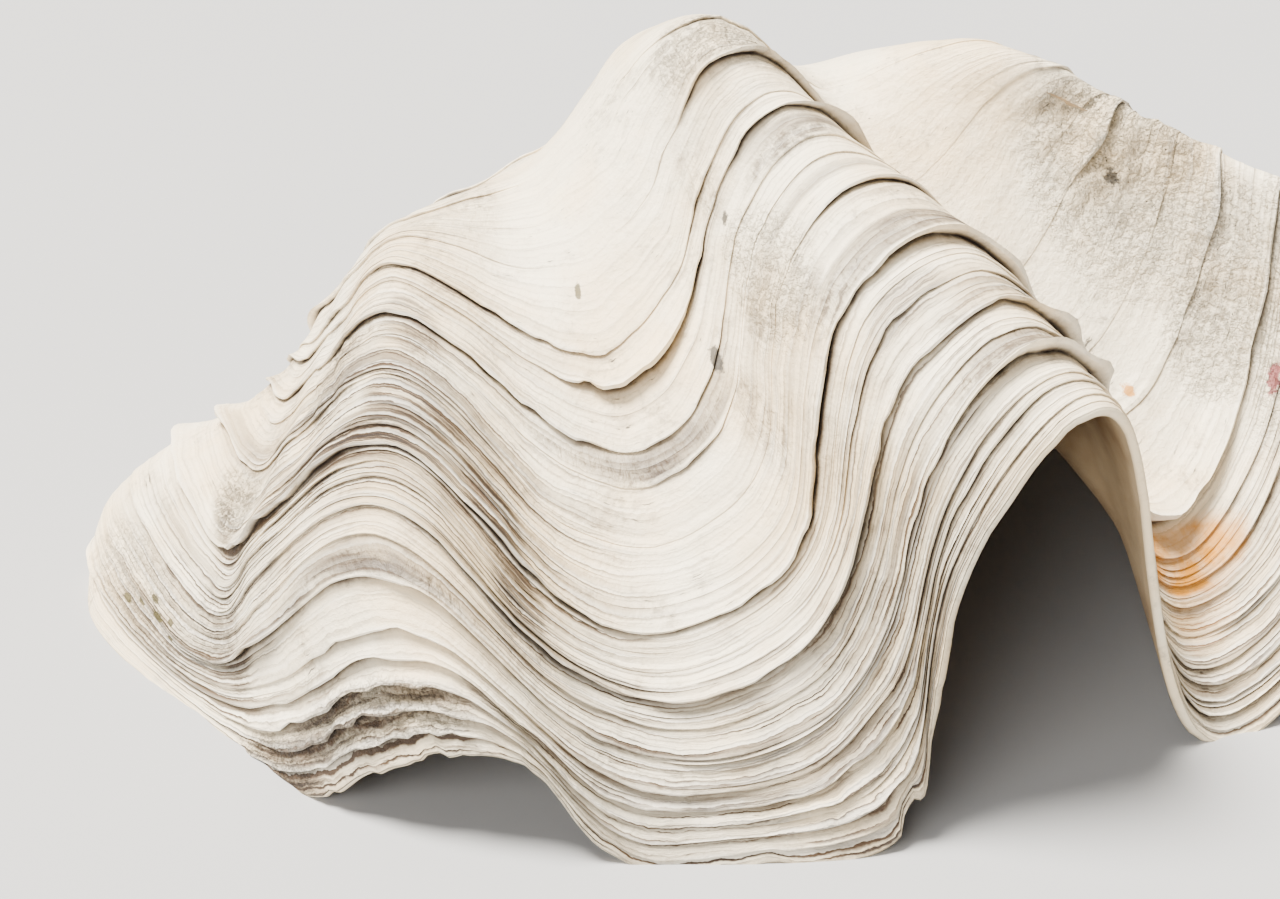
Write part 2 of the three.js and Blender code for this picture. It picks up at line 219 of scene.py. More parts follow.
# Translucent grey bands: first and last place across, first and last age, amount.
GREY_BANDS = (
    (0.475, 0.590, 0.757, 0.782, 1.0), (0.500, 0.570, 0.629, 0.645, 0.9),
    (0.500, 0.600, 0.876, 0.900, 0.95), (0.325, 0.440, 0.661, 0.677, 1.0),
    (0.205, 0.290, 0.878, 0.903, 1.0), (0.510, 0.585, 0.820, 0.829, 0.8), (0.195, 0.270, 0.695, 0.716, 0.8),
    (0.340, 0.440, 0.852, 0.868, 0.6), (0.330, 0.420, 0.940, 0.947, 0.5), (0.470, 0.560, 0.690, 0.700, 0.6),
    (0.225, 0.280, 0.655, 0.664, 0.7), (0.700, 0.800, 0.560, 0.580, 0.6), (0.850, 0.950, 0.640, 0.660, 0.8),
    (0.080, 0.160, 0.700, 0.716, 0.6), (0.760, 0.860, 0.880, 0.900, 0.7),
)
# Rough crust, laid out as GREY_PATCHES are, like the stain and the ochre tangles after it.
CRUST_PATCHES = (
    (0.735, 0.640, 0.040, 0.070, 1.0), (0.722, 0.740, 0.026, 0.045, 1.0), (0.535, 0.490, 0.045, 0.045, 0.5),
    (0.132, 0.748, 0.020, 0.026, 0.8), (0.215, 0.690, 0.020, 0.040, 0.4), (0.476, 0.700, 0.018, 0.050, 0.4),
    (0.225, 0.975, 0.040, 0.016, 0.7), (0.172, 0.985, 0.014, 0.016, 1.0),
    (0.104, 0.900, 0.026, 0.050, 0.35), (0.140, 0.870, 0.022, 0.050, 0.3),
    (0.745, 0.820, 0.040, 0.050, 0.5),
)
STAIN_PATCHES = (
    (0.653, 0.826, 0.024, 0.034, 1.0), (0.668, 0.840, 0.016, 0.028, 0.5),
    (0.656, 0.885, 0.016, 0.040, 0.22),
)
OCHRE_PATCHES = (
    (0.235, 0.775, 0.040, 0.018, 1.0), (0.205, 0.780, 0.030, 0.010, 0.7), (0.262, 0.735, 0.018, 0.022, 0.9),
    (0.290, 0.765, 0.012, 0.024, 1.0), (0.245, 0.770, 0.040, 0.014, 0.9), (0.185, 0.785, 0.020, 0.008, 0.8),
    (0.300, 0.810, 0.010, 0.030, 0.8), (0.148, 0.792, 0.020, 0.007, 0.8),
    (0.205, 0.978, 0.034, 0.016, 0.65), (0.176, 0.988, 0.016, 0.018, 0.8),
    (0.255, 0.966, 0.030, 0.006, 0.6), (0.205, 0.899, 0.012, 0.006, 0.7), (0.182, 0.902, 0.014, 0.006, 0.8),
    (0.160, 0.910, 0.010, 0.010, 0.8), (0.290, 0.955, 0.020, 0.010, 0.7), (0.500, 0.812, 0.016, 0.014, 0.6),
    (0.262, 0.660, 0.012, 0.030, 0.5), (0.150, 0.930, 0.016, 0.014, 0.6), (0.640, 0.940, 0.020, 0.030, 0.3),
)

# Small round spots: place across, age, radius across, and the setting that holds the colour.
SPOTS = (
    (0.427, 0.657, 0.0042, "speck_colour"), (0.479, 0.638, 0.0022, "speck_colour"),
    (0.719, 0.642, 0.0030, "speck_colour"), (0.357, 0.558, 0.0026, "moss_colour"),
    (0.108, 0.888, 0.0020, "moss_colour"), (0.112, 0.901, 0.0024, "moss_colour"),
    (0.117, 0.892, 0.0016, "moss_colour"), (0.104, 0.907, 0.0018, "moss_colour"),
    (0.099, 0.922, 0.0020, "moss_colour"), (0.120, 0.909, 0.0014, "moss_colour"),
    (0.713, 0.811, 0.0036, "pink_colour"), (0.677, 0.711, 0.0022, "stain_colour"),
)

# The photograph's camera, in the valve's own coordinates.
CAMERA_PLACE = (0.0, -506.1, 422.0)
CAMERA_ELEVATION = math.radians(28)
FOCAL_PIXELS = 2000.0
IMAGE_WIDTH = 1280.0
SENSOR_WIDTH = 36.0

# Lights: the side that each shines from, its width in degrees and its colour.
KEY_LIGHT = ((-0.45, 0.08, 1.37), 22, (1.0, 0.955, 0.885))
FILL_LIGHT = ((-0.9, -1.3, 0.82), 40, (1.0, 0.98, 0.95))
SKY_COLOUR = (0.86, 0.87, 0.89, 1.0)
FLOOR_HALF = 6.0


class ShellSettings(bpy.types.PropertyGroup):
    """Sizes and colours of the shell that a user would change."""
    columns: IntProperty(name="Columns", description="Points along the margin", default=280, min=60)
    wall_margin: FloatProperty(name="Wall at margin", description="Thickness of the wall at the margin",
                               default=0.0035, unit="LENGTH")
    wall_umbo: FloatProperty(name="Wall at umbo", description="Thickness of the wall near the umbo",
                             default=0.012, unit="LENGTH")
    hinge_plate: FloatProperty(name="Hinge plate", description="Extra width of the wall along the hinge",
                               default=0.016, unit="LENGTH")
    shell_colour: FloatVectorProperty(name="Shell", description="Chalky outside of the shell",
                                      subtype="COLOR", default=(0.95, 0.84, 0.63), min=0, max=1)
    # Painted highlight on the lips of the ledges and on the tops of the bump steps.
    lip_highlight_colour: FloatVectorProperty(name="Edges", description="Worn white lips of the ledges",
                                     subtype="COLOR", default=(0.97, 0.90, 0.76), min=0, max=1)
    cream_colour: FloatVectorProperty(name="Cream", description="Warmer parts of the shell",
                                      subtype="COLOR", default=(0.91, 0.73, 0.46), min=0, max=1)
    band_colour: FloatVectorProperty(name="Bands", description="Translucent grey bands above the ledges",
                                     subtype="COLOR", default=(0.095, 0.07, 0.05), min=0, max=1)
    shade_colour: FloatVectorProperty(name="Shade", description="Broad darker growth lines",
                                      subtype="COLOR", default=(0.14, 0.10, 0.06), min=0, max=1)
    # Tan of the growth lines and ochre tangles; also the first, lighter layer of painted shade under the
    # ledges.
    line_colour: FloatVectorProperty(name="Lines", description="Thin tan growth lines",
                                     subtype="COLOR", default=(0.075, 0.04, 0.016), min=0, max=1)
    # Near-black brown of the ochre tangles; also painted shade under the ledges and in the deepest growth
    # lines.
    tangle_and_shade_colour: FloatVectorProperty(name="Crevices", description="Dirt under the ledges",
                                        subtype="COLOR", default=(0.022, 0.012, 0.006), min=0, max=1)
    speck_colour: FloatVectorProperty(name="Specks", description="Small dark specks and pits",
                                      subtype="COLOR", default=(0.03, 0.024, 0.018), min=0, max=1)
    moss_colour: FloatVectorProperty(name="Moss", description="Olive specks of dried growth",
                                     subtype="COLOR", default=(0.07, 0.055, 0.008), min=0, max=1)
    pink_colour: FloatVectorProperty(name="Pink spot", description="Coralline spot on the fourth rib",
                                     subtype="COLOR", default=(0.22, 0.03, 0.045), min=0, max=1)
    stain_colour: FloatVectorProperty(name="Stain", description="Rusty stain in the narrow valley",
                                      subtype="COLOR", default=(0.56, 0.22, 0.008), min=0, max=1)
    # Dark brown of the hollow side: painted shade for the inside of the arch.
    shaded_inside_colour: FloatVectorProperty(name="Inside", description="Smooth hollow side",
                                       subtype="COLOR", default=(0.15, 0.08, 0.034), min=0, max=1)


class StageSettings(bpy.types.PropertyGroup):
    """Ground and light."""
    floor_colour: FloatVectorProperty(name="Floor", description="Colour of the floor",
                                      subtype="COLOR", default=(0.37, 0.37, 0.37), min=0, max=1)
    key_strength: FloatProperty(name="Key light", description="Strength of the wide light above",
                                default=19.0, min=0)
    fill_strength: FloatProperty(name="Fill light", description="Strength of the light from the front left",
                                 default=3.6, min=0)
    sky_strength: FloatProperty(name="Sky", description="Strength of the even light from all sides",
                                default=0.28, min=0)


def spline_bends(knots, values):
    """Second derivatives at the knots of the natural cubic spline through the values."""
    knots = np.asarray(knots, float)
    gap = np.diff(knots)
    count = len(knots)
    system = np.eye(count)
    target = np.zeros_like(values)
    for i in range(1, count - 1):
        system[i, i - 1:i + 2] = gap[i - 1], 2 * (gap[i - 1] + gap[i]), gap[i]
        target[i] = 6 * ((values[i + 1] - values[i]) / gap[i] - (values[i] - values[i - 1]) / gap[i - 1])
    return np.linalg.solve(system, target.reshape(count, -1)).reshape(values.shape)


def spline_weights(knots, at):
    """Knot index and the four weights of the spline at each place."""
    knots = np.asarray(knots, float)
    i = np.clip(np.searchsorted(knots, at, side="right") - 1, 0, len(knots) - 2)
    gap = knots[i + 1] - knots[i]
    ahead = (at - knots[i]) / gap
    behind = 1 - ahead
    square = gap * gap / 6
    return i, behind, ahead, (behind ** 3 - behind) * square, (ahead ** 3 - ahead) * square


class SmoothShell:
    """The smooth surface through the fold paths, at chosen places across the margin."""

    def __init__(self, across):
        paths = np.array(list(FOLD_PATHS.values()), float).transpose(1, 0, 2)
        steps = np.linalg.norm(np.diff(paths, axis=1), axis=2).mean(axis=0) ** KNOT_POWER
        self.knots = np.concatenate([[0], np.cumsum(steps)]) / steps.sum()
        lines = [*paths]
        umbo = np.array(UMBO)
        for age in SPIRAL_AGES:
            size = age / PATH_AGES[-1]
            turn = np.array(Matrix.Rotation(-SPIRAL_TURN * (1 - size), 3, "X"))
            lines.append(umbo + size * (paths[-1] - umbo) @ turn.T)
        self.ages = np.array((*PATH_AGES, *SPIRAL_AGES))[::-1]
        lines = np.array(lines[::-1])
        by_fold = lines.transpose(1, 0, 2)
        bends = spline_bends(self.knots, by_fold)
        weights = spline_weights(self.knots, across)
        i, behind, ahead, bend_behind, bend_ahead = (w[..., None, None] if n else w
                                                     for n, w in enumerate(weights))
        columns = (behind * by_fold[i] + ahead * by_fold[i + 1]
                   + bend_behind * bends[i] + bend_ahead * bends[i + 1])
        self.columns = columns.transpose(1, 0, 2)
        self.bends = spline_bends(self.ages, self.columns)

    def station(self, name):
        """Where a fold lies across the margin, from 0 to 1."""
        return self.knots[list(FOLD_PATHS).index(name)]

    def points(self, ages):
        """Points at an array of ages, one row per growth line and one column per place."""
        i, behind, ahead, bend_behind, bend_ahead = spline_weights(self.ages, ages)
        column = np.arange(self.columns.shape[1])[None, :]
        return (behind[..., None] * self.columns[i, column] + ahead[..., None] * self.columns[i + 1, column]
                + bend_behind[..., None] * self.bends[i, column]
                + bend_ahead[..., None] * self.bends[i + 1, column])

    def outward(self, ages):
        """Unit vectors out of the shell."""
        step = 0.002
        along = self.points(ages + step) - self.points(ages - step)
        across = np.gradient(self.points(ages), axis=1)
        normal = -np.cross(across, along)
        return normal / np.linalg.norm(normal, axis=2, keepdims=True)


def ripple(random, x, y, cells_x, cells_y):
    """Smooth random values from -1 to 1, on a lattice of cells over the unit square."""
    lattice = random.uniform(-1, 1, (cells_x + 2, cells_y + 2))
    u = np.clip(x, 0, 1) * cells_x
    v = np.clip(y, 0, 1) * cells_y
    i = np.minimum(u.astype(int), cells_x)
    j = np.minimum(v.astype(int), cells_y)
    fu = u - i
    fv = v - j
    fu = fu * fu * (3 - 2 * fu)
    fv = fv * fv * (3 - 2 * fv)
    return ((lattice[i, j] * (1 - fu) + lattice[i + 1, j] * fu) * (1 - fv)
            + (lattice[i, j + 1] * (1 - fu) + lattice[i + 1, j + 1] * fu) * fv)


def smoothstep(value, low, high):
    """0 below low, 1 above high, and smooth between them."""
    t = np.clip((value - low) / (high - low), 0, 1)
    return t * t * (3 - 2 * t)


def bands(u, age):
    """Long translucent bands that run along the growth lines, fading at both ends."""
    total = np.zeros_like(u)
    for start, end, low, high, amount in GREY_BANDS:
        middle = (start + end) / 2
        reach = np.clip(1.25 * (1 - np.abs(u - middle) / (end - start) * 2), 0, 1) ** 0.5
        inside = smoothstep(age, low - 0.004, low + 0.002) * smoothstep(-age, -high - 0.001, -high + 0.001)
        total = np.maximum(total, amount * reach * inside)
    return total


def by_fold_and_age(shell, across, ages, table_ages, table):
    """Values of a table of folds and ages, spread over the whole surface."""
    stations = [shell.station(name) for name in table]
    columns = np.array([np.interp(across, stations, values) for values in zip(*table.values())])
    return np.array([np.interp(ages[:, c], table_ages, columns[:, c]) for c in range(len(across))]).T


def patches(u, age, places):
    """Soft-edged patches, each strongest at its middle."""
    total = np.zeros_like(u)
    for across, middle, wide, tall, amount in places:
        away = ((u - across) / wide) ** 2 + ((age - middle) / tall) ** 2
        total = np.maximum(total, amount * (1 - smoothstep(away, 0.3, 1.7)))
    return total


def growth_rows(random):
    """Ages of the rows, and for each row the large ledge that it is the foot of, NO_FOOT or FINE_FOOT."""
    ages = []
    feet = []
    start = FIRST_AGE
    for n, (lip, _, _) in enumerate(LEDGES):
        step = OLD_ROW_STEP if lip < OLD_PART else ROW_STEP
        count = max(2, round((lip - start) / step))
        for k in range(1 if n else 0, count + 1):
            ages.append(start + (lip - ROW_TO_LIP - start) * k / count)
            feet.append(NO_FOOT)
            between = lip > FINE_FEET_FROM and 0 < k < count
            if between and feet[-2] != FINE_FOOT and random.rand() < FINE_FOOT_CHANCE:
                ages.append(ages[-1])
                feet.append(FINE_FOOT)
        ages += [lip, lip]
        feet += [NO_FOOT, n]
        start = lip
    ages += [start + (1 - start) * k / MARGIN_ROWS for k in range(1, MARGIN_ROWS + 1)]
    feet += [NO_FOOT] * MARGIN_ROWS
    return np.array(ages), np.array(feet)


def raise_large_ledges(shell, across, random, age, foot, grow):
    """Shingle-like steps: each swells towards its lip and drops to a foot tucked under it, with a painted
    highlight on the lip and painted shade below it.
    """
    u = grow["u"]
    stations = [shell.station(name) for name in STATIONS]
    for n, (lip, rise, heights) in enumerate(LEDGES):
        uneven = 1 + 0.6 * ripple(random, u, u * 0, 23, 1) + 0.25 * ripple(random, u, u * 0, 61, 1)
        tall = np.clip(np.interp(across, stations, heights)[None, :] * uneven, 0, None)
        tongue = sum(height * np.exp(-((u - middle) / wide) ** 2)
                     for middle, of_age, wide, height in TONGUES if of_age == lip)
        tall = tall + tongue
        is_foot = (foot == n)[:, None]
        along = np.clip((age - lip + rise) / rise, 0, 1)
        before = (age <= lip) & ~is_foot
        shape = np.where(before, along ** 2, 0)
        shape = np.where(before & (age > lip - 1e-6), LIP_SHARE, shape)
        grow["lift"] = np.maximum(grow["lift"], shape * tall)
        jag = ripple(random, u, u * 0, 140, 1) + 0.8 * ripple(random, u, u * 0, 52, 1)
        near = np.exp(-np.abs(age - lip) / LIP_REACH)
        grow["place"] += near * tongue * TONGUE_LENGTH
        grow["place"] += near * jag * JAG_LENGTH * np.clip(tall, 0.5, 3)
        grow["place"] -= is_foot * np.clip(tall - 0.6, 0, 4) * TUCK_LENGTH
        # Painted highlight: lightens the last stretch before each tall lip.
        nearly = np.clip(1 - (lip - age) / EDGE_REACH, 0, 1) * before
        grow["edge"] = np.maximum(grow["edge"], nearly * np.clip((tall - 0.5) / 1.5, 0, 1))
        # Painted shade: darkens the surface just past each large ledge's lip, where its shadow falls.
        after = (age > lip) | is_foot
        fade = np.clip(1 - (age - lip) / LEDGE_SHADE_REACH, 0, 1)
        depth = np.clip((tall - 0.5) / 1.3, 0, 1)
        grow["ledge_shade"] = np.maximum(grow["ledge_shade"], after * fade ** 2 * depth)


def raise_fine_ledges(random, age, foot, grow):
    """Low, uneven steps between the large ones, with a painted highlight on each lip and painted shade at
    each foot.
    """
    u = grow["u"]
    rows = np.arange(len(foot))[:, None]
    for row in np.flatnonzero(foot == FINE_FOOT):
        lip = age[row, 0]
        height = 0.14 + 0.8 * random.rand() ** 2
        rise = random.uniform(0.006, 0.016)
        here = 0.25 + 1.1 * ripple(random, u, u * 0, 13, 1) + 0.4 * ripple(random, u, u * 0, 60, 1)
        here = np.clip(here, 0, 2)
        along = np.clip((age - lip + rise) / rise, 0, 1)
        strength = height * here * grow["lines"]
        grow["lift"] += np.where(rows < row, along ** 2, 0) * strength
        # Painted highlight on the lip of each fine ledge.
        grow["edge"] = np.maximum(grow["edge"], (rows == row - 1) * np.clip(strength * 2, 0, 0.9))
        # Painted shade at the foot of each fine ledge.
        grow["ledge_shade"] = np.maximum(grow["ledge_shade"], (rows == row) * np.clip(strength * 1.8, 0, 0.9))
    grow["lift"] += 0.10 * ripple(random, u, age, 16, 240) * grow["lines"]


def growth_of_shell(shell, across, random):
    """Ages, lifts and marks of every point of the outside."""
    row_ages, foot = growth_rows(random)
    age = row_ages[:, None] + 0 * across[None, :]
    u = across[None, :] + 0 * age
    grow = {"u": u, "age": age, "place": age.copy()}
    grow["lines"] = by_fold_and_age(shell, across, age, LINE_AGES, LINE_STRENGTH)
    grow["band"] = bands(u, age)
    for name, places in (("crust", CRUST_PATCHES), ("grey", GREY_PATCHES),
                         ("stain", STAIN_PATCHES), ("ochre", OCHRE_PATCHES)):
        grow[name] = patches(u, age, places)
    for name in ("lift", "ledge_shade", "edge"):
        grow[name] = np.zeros_like(age)
    raise_large_ledges(shell, across, random, age, foot, grow)
    raise_fine_ledges(random, age, foot, grow)
    end_fade = smoothstep(np.minimum(u, 1 - u), 0.0, 0.05)
    grow["lift"] *= end_fade
    wander = 0.0055 * ripple(random, u, age, 15, 7) + 0.0034 * ripple(random, u, age, 41, 17)
    grow["place"] += wander * np.clip((1 - age) / 0.04, 0, 1) * end_fade * smoothstep(age, 0.1, 0.3)
    chips = np.clip(ripple(random, u, u * 0, 75, 1) + 0.5 * ripple(random, u, u * 0, 190, 1), 0, 2)
    ragged = MARGIN_CHIPS + TOOTH_CHIPS * np.exp(-((u - TOOTH_PLACE) / TOOTH_REACH) ** 2)
    grow["place"] -= ragged * np.minimum(chips, 0.8) * smoothstep(age, 0.975, 1.0)
    return grow


def roughen(points, outward, grow):
    """Broad unevenness everywhere, and rough grains on the crusted patches."""
    u = grow["u"]
    age = grow["age"]
    flat = points.reshape(-1, 3)
    broad = np.array([noise.noise(Vector(p) / BROAD_CELL) for p in flat]).reshape(u.shape)
    fine = np.array([noise.fractal(Vector(p) / GRAIN_CELL, 0.7, 2.1, 5) for p in flat]).reshape(u.shape)
    away_from_ends = smoothstep(np.minimum(u, 1 - u), 0, 0.06)
    lift = BROAD_LIFT * broad * away_from_ends * smoothstep(-age, -1.0, -0.95)
    lumps = np.array([noise.noise(Vector(p) / LUMP_CELL) for p in flat]).reshape(u.shape)
    rough = np.clip(grow["crust"] + grow["grey"], 0, 1)
    lift += lumps * (LUMP_LIFT + 0.9 * rough) * away_from_ends * smoothstep(-age, -1.0, -0.985)
    lift += fine * (GRAIN_LIFT + 0.3 * grow["grey"] + 1.5 * grow["crust"]) * smoothstep(-age, -1.0, -0.985)
    return points + outward * lift[..., None]


def wall_thickness(settings, u, age):
    """Thickness in millimetres: thin at the margin, thick at the umbo and along the hinge."""
    thinner = smoothstep(age, WALL_EVEN_UNTIL, 1)
    wall = settings.wall_umbo + (settings.wall_margin - settings.wall_umbo) * thinner
    from_hinge = np.minimum(u, 1 - u)
    return (wall + settings.hinge_plate * (1 - age) * np.exp(-from_hinge / HINGE_REACH)) / MM


def rim_rows(outer, inner, forward, count):
    """Rounded edge of the wall between the last rows of the two sides."""
    rows = []
    for k in range(1, count):
        turn = math.pi * k / count
        middle = (outer + inner) / 2
        half = (outer - inner) / 2
        reach = np.linalg.norm(half, axis=1, keepdims=True) * 0.5
        rows.append(middle + half * math.cos(turn) + forward * reach * math.sin(turn))
    return rows


def shell_points(settings):
    """Rows of points from the umbo over the outside, round the margin and back up the hollow side."""
    across = np.linspace(0, 1, settings.columns)
    shell = SmoothShell(across)
    random = np.random.RandomState(RANDOM_SEED)
    grow = growth_of_shell(shell, across, random)
    base = shell.points(grow["place"])
    outward = shell.outward(grow["place"])
    outer = base + outward * grow["lift"][..., None]
    outer = roughen(outer, outward, grow)
    inner_age = np.linspace(1, CAVITY_START_AGE, INNER_ROWS)[:, None] + 0 * across[None, :]
    inner_age[0] = grow["place"][-1]
    inner_u = across[None, :] + 0 * inner_age
    wall = wall_thickness(settings, inner_u, inner_age)
    inner = shell.points(inner_age) - shell.outward(inner_age) * wall[..., None]
    forward = outer[-1] - outer[-3]
    forward /= np.linalg.norm(forward, axis=1, keepdims=True)
    rim = rim_rows(outer[-1], inner[0], forward, RIM_STEPS)
    points = np.concatenate([outer, rim, inner])
    points -= np.array([*MIDDLE, WORN_DEPTH])
    return points * MM, shell_marks(grow, inner_u, inner_age)


def shell_marks(grow, inner_u, inner_age):
    """Values that the material reads at every point."""
    rim_count = RIM_STEPS - 1
    rim_u = np.repeat(grow["u"][-1:], rim_count, axis=0)
    rim_inside = 0.6 * np.linspace(0, 1, rim_count)[:, None] ** 3 + 0 * rim_u
    inside = np.concatenate([grow["u"] * 0, rim_inside, inner_u * 0 + 1])
    u = np.concatenate([grow["u"], rim_u, inner_u])
    age = np.concatenate([grow["age"], rim_u * 0 + 1, inner_age])
    marks = {"growth": np.stack([u, age, inside], axis=2), "inside": inside}
    for name in ("lines", "ledge_shade", "edge", "grey", "band", "crust", "stain", "ochre"):
        marks[name] = np.concatenate([grow[name], rim_u * 0, inner_u * 0])
    return marks


def fill_shell_mesh(mesh, points, marks):
    """A grid bent to the points, closed along the umbo and the hinge, and worn flat on the ground."""
    row_count, column_count = points.shape[:2]
    bm = bmesh.new()
    bmesh.ops.create_grid(bm, x_segments=column_count - 1, y_segments=row_count - 1, size=1)
    bm.to_mesh(mesh)
    bm.free()
    flat = np.empty(len(mesh.vertices) * 3)
    mesh.vertices.foreach_get("co", flat)
    flat = flat.reshape(-1, 3)
    column = np.rint((flat[:, 0] + 1) / 2 * (column_count - 1)).astype(int)
    row = np.rint((flat[:, 1] + 1) / 2 * (row_count - 1)).astype(int)
    mesh.vertices.foreach_set("co", points[row, column].ravel())
    for name, values in marks.items():
        is_vector = values.ndim == 3
        layer = mesh.attributes.new(name, "FLOAT_VECTOR" if is_vector else "FLOAT", "POINT")
        layer.data.foreach_set("vector" if is_vector else "value", values[row, column].ravel())
    place = mesh.attributes.new("row", "INT", "POINT")
    place.data.foreach_set("value", row)
    bm = bmesh.new()
    bm.from_mesh(mesh)
    layer = bm.verts.layers.int["row"]
    end_rows = ({0}, {row_count - 1})
    ends = [edge for edge in bm.edges if edge.is_boundary and {v[layer] for v in edge.verts} in end_rows]
    bmesh.ops.bridge_loops(bm, edges=ends)
    close_holes(bm)
    bmesh.ops.bisect_plane(bm, geom=[*bm.verts, *bm.edges, *bm.faces], dist=1e-7, plane_co=(0, 0, 0),
                           plane_no=(0, 0, 1), clear_inner=True)
    close_holes(bm)
    bmesh.ops.recalc_face_normals(bm, faces=bm.faces)
    bm.to_mesh(mesh)
    bm.free()
    mesh.attributes.remove(mesh.attributes["row"])
    mesh.shade_smooth()
    mesh.set_sharp_from_angle(angle=SHARP_ANGLE)


def close_holes(bm):
    """Fills every open edge with triangles."""
    holes = bmesh.ops.holes_fill(bm, edges=[edge for edge in bm.edges if edge.is_boundary], sides=0)
    bmesh.ops.triangulate(bm, faces=holes["faces"], ngon_method="EAR_CLIP")


class Nodes:
    """Short calls for building a material's node tree."""

    def __init__(self, material):
        material.use_nodes = True
        self.tree = material.node_tree
        self.shader = self.tree.nodes["Principled BSDF"]

    def add(self, kind, inputs=(), **settings):
        node = self.tree.nodes.new("ShaderNode" + kind)
        for key, value in settings.items():
            setattr(node, key, value)
        for key, value in dict(inputs).items():
            self.put(node.inputs[key], value)
        return node

    def put(self, socket, value):
        if isinstance(value, bpy.types.NodeSocket):
            self.tree.links.new(value, socket)
        else:
            socket.default_value = value

    def attribute(self, name, output="Fac"):
        return self.add("Attribute", attribute_name=name).outputs[output]

    def scaled(self, vector, scale):
        return self.add("Mapping", {"Vector": vector, "Scale": scale}).outputs[0]

    def noise(self, vector, scale, detail=2.0, roughness=0.5, distortion=0.0):
        return self.add("TexNoise", {"Vector": vector, "Scale": scale, "Detail": detail,
                                     "Roughness": roughness, "Distortion": distortion}).outputs["Fac"]

    def math(self, operation, first, second=0.0, clamp=False):
        node = self.add("Math", operation=operation, use_clamp=clamp)
        self.put(node.inputs[0], first)
        self.put(node.inputs[1], second)
        return node.outputs[0]

    def times(self, first, second, clamp=False):
        return self.math("MULTIPLY", first, second, clamp)

    def plus(self, first, second, clamp=False):
        return self.math("ADD", first, second, clamp)

    def range(self, value, low, high, to_low=0.0, to_high=1.0):
        return self.add("MapRange", {0: value, 1: low, 2: high, 3: to_low, 4: to_high}, clamp=True).outputs[0]

    def mix(self, factor, first, second, blend="MIX"):
        node = self.add("Mix", data_type="RGBA", blend_type=blend)
        self.put(node.inputs["Factor"], factor)
        self.put(node.inputs[6], first)
        self.put(node.inputs[7], second)
        return node.outputs[2]

    def paint(self, colour, factor, layer):
        return self.mix(factor, colour, rgba(layer))


def rgba(colour):
    """A setting's colour, opaque."""
    return (*colour, 1.0)


def growth_steps(nodes, growth, count, dashes):
    """Uneven steps across the growth lines: the rise within each step, its strength and its tone."""
    split = nodes.add("SeparateXYZ", {"Vector": growth})
    bend = nodes.noise(nodes.scaled(growth, (3, count * 0.4, 1)), 1.0, 3.0, 0.5)
    age = nodes.plus(nodes.times(split.outputs["Y"], count), bend)
    number = nodes.times(nodes.math("FLOOR", age), STEP_SPACING)
    along = nodes.add("CombineXYZ", {"X": nodes.times(split.outputs["X"], dashes), "Y": number})
    strength = nodes.noise(along.outputs[0], 1.0, 3.0, 0.6)
    tone = nodes.noise(nodes.scaled(along.outputs[0], (0.3, 3.1, 1)), 1.0, 2.0, 0.5)
    return nodes.math("FRACT", age), nodes.range(strength, 0.34, 0.54), nodes.range(tone, 0.40, 0.62)


def shell_pattern(nodes):
    """Everything that the shell's colour and its relief have in common."""
    p = SimpleNamespace()
    p.growth = nodes.attribute("growth", "Vector")
    p.inside = nodes.attribute("inside")
    p.lines = nodes.attribute("lines")
    p.crust = nodes.attribute("crust")
    p.grey = nodes.attribute("grey")
    place = nodes.add("TexCoord").outputs["Object"]
    p.outside = nodes.math("SUBTRACT", 1.0, p.inside)

    sway = nodes.math("SUBTRACT", nodes.noise(place, 70.0, 4.0, 0.65), 0.5)
    sway = nodes.add("CombineXYZ", {"Y": nodes.times(sway, LINE_SWAY)}).outputs[0]
    wavy = nodes.add("VectorMath", {0: p.growth, 1: sway}, operation="ADD").outputs[0]

    # Patterns drawn out along the growth lines.
    p.rise, p.strong, p.tone = growth_steps(nodes, wavy, *WIDE_STEPS)
    p.small_rise, p.weak, p.small_tone = growth_steps(nodes, wavy, *NARROW_STEPS)
    p.fine = nodes.noise(nodes.scaled(wavy, (22, 300, 1)), 1.0, 5.0, 0.68)
    p.medium = nodes.noise(nodes.scaled(wavy, (13, 80, 1)), 1.0, 4.0, 0.6)
    p.streaks = nodes.noise(nodes.scaled(wavy, (30, 62, 1)), 1.0, 4.0, 0.6, 0.3)
    p.dashes = nodes.noise(nodes.scaled(wavy, (110, 420, 1)), 1.0, 2.0, 0.5)
    p.wrinkles = nodes.noise(nodes.scaled(wavy, (260, 60, 1)), 1.0, 3.0, 0.6, 0.6)

    # Patterns with no direction, from broad to small.
    p.clouds = nodes.noise(place, 14.0, 4.0, 0.6)
    p.patches = nodes.noise(place, 45.0, 5.0, 0.65, 0.3)
    p.crumbs = nodes.noise(place, 320.0, 5.0, 0.66)
    p.grain = nodes.noise(place, 900.0, 3.0, 0.6)
    # Pits sink the bump on the crust; the dark colour painted into them is painted shade.
    p.pits = nodes.times(nodes.range(p.grain, 0.64, 0.70), nodes.times(p.crust, 0.9))
    return p


